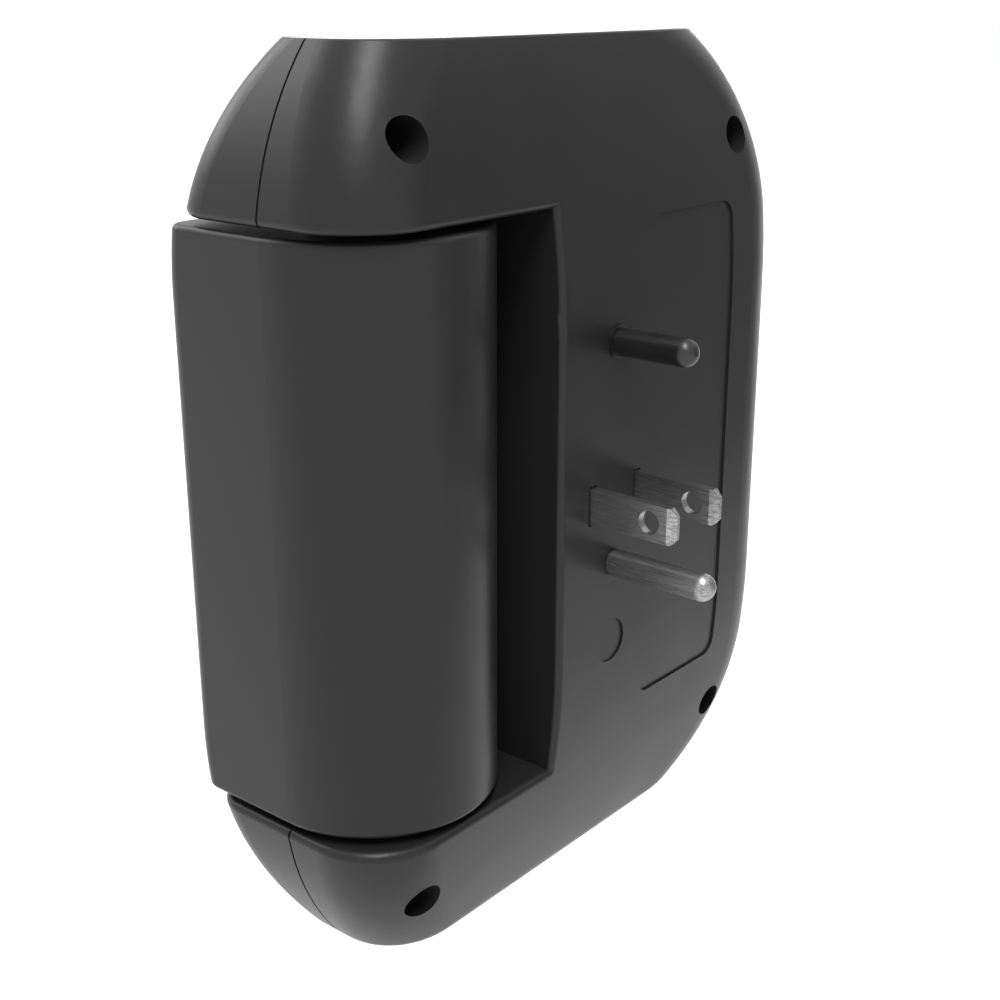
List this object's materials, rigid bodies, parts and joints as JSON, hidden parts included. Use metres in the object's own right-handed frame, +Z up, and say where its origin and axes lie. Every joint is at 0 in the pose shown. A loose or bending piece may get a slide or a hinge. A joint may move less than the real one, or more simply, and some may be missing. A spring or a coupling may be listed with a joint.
{
  "type": "ultrasonic pest repeller",
  "caption": "Plug-in ultrasonic pest repeller: crowned two-shell housing on a grounded mains plug, with a swivelling half-round speaker pod in a side bay and a pass-through outlet.",
  "frame": {"origin": "midway between the two mains blades, on the rear face that lies against the wall", "axes": "+Y points out of the rear face along the blades, +Z is up, +X is towards the speaker pod; the front faces -Y"},
  "size_m": [0.1135, 0.065, 0.1476],
  "materials": {
    "housing_abs": "fine satin moulded texture",
    "grille_abs": "satin moulded",
    "pin_nylon": "satin moulded",
    "carrier_pbt": "moulded",
    "outlet_polycarbonate": "semi-gloss moulded",
    "blade_metal": "nickel-plated brass, drawn lengthwise",
    "screw_steel": "black zinc",
    "contact_brass": "stamped",
    "board_laminate": "solder mask",
    "ferrite": "sintered",
    "winding_tape": "polyester tape",
    "capacitor_sleeve": "heat-shrunk sleeve",
    "film_box": "moulded box",
    "fuse_body": "moulded",
    "varistor_coat": "dipped epoxy",
    "chip_resin": "moulded resin",
    "resistor_coat": "lacquered film",
    "led_epoxy": "tinted epoxy",
    "lens_clear": "clear polycarbonate",
    "socket_nylon": "moulded",
    "wire_pvc": "extruded insulation",
    "cable_pvc": "extruded jacket",
    "bush_acetal": "machined acetal",
    "speaker_frame_abs": "moulded",
    "cone_aluminium": "spun",
    "piezo_brass": "rolled disc",
    "gasket_foam": "closed-cell foam"
  },
  "bodies": {
    "housing": {"rear_cover": "housing_abs", "front_cover": "housing_abs", "stabiliser_pin": "pin_nylon", "plug_carrier": "carrier_pbt", "outlet_insert": "outlet_polycarbonate", "line_blade": "blade_metal", "neutral_blade": "blade_metal", "ground_pin": "blade_metal", "cover_screws": "screw_steel", "carrier_screws": "screw_steel", "board_screws": "screw_steel", "outlet_screws": "screw_steel", "line_contact": "contact_brass", "neutral_contact": "contact_brass", "ground_contact": "contact_brass", "main_board": "board_laminate", "transformer_core": "ferrite", "transformer_winding": "winding_tape", "bulk_capacitor": "capacitor_sleeve", "small_capacitors": "capacitor_sleeve", "suppression_capacitor": "film_box", "fuse": "fuse_body", "varistor": "varistor_coat", "rectifier": "chip_resin", "controller_chip": "chip_resin", "driver_transistors": "chip_resin", "resistors": "resistor_coat", "choke": "ferrite", "indicator_led": "led_epoxy", "indicator_lens": "lens_clear", "speaker_socket": "socket_nylon", "mains_wires": "wire_pvc", "body_cable": "cable_pvc", "upper_bush": "bush_acetal", "lower_bush": "bush_acetal"},
    "speaker_pod": {"pod_shell": "housing_abs", "pod_grille": "grille_abs", "upper_speaker_frame": "speaker_frame_abs", "lower_speaker_frame": "speaker_frame_abs", "upper_cone": "cone_aluminium", "lower_cone": "cone_aluminium", "upper_piezo": "piezo_brass", "lower_piezo": "piezo_brass", "speaker_gaskets": "gasket_foam", "speaker_screws": "screw_steel", "pod_leads": "wire_pvc"}
  },
  "joints": [
    {"name": "pod_swivel", "type": "hinge", "parent": "housing", "child": "speaker_pod", "pos_m": [0.037, -0.022, 0.0016], "axis": [0, 0, 1], "range_deg": [0, 90]}
  ]
}
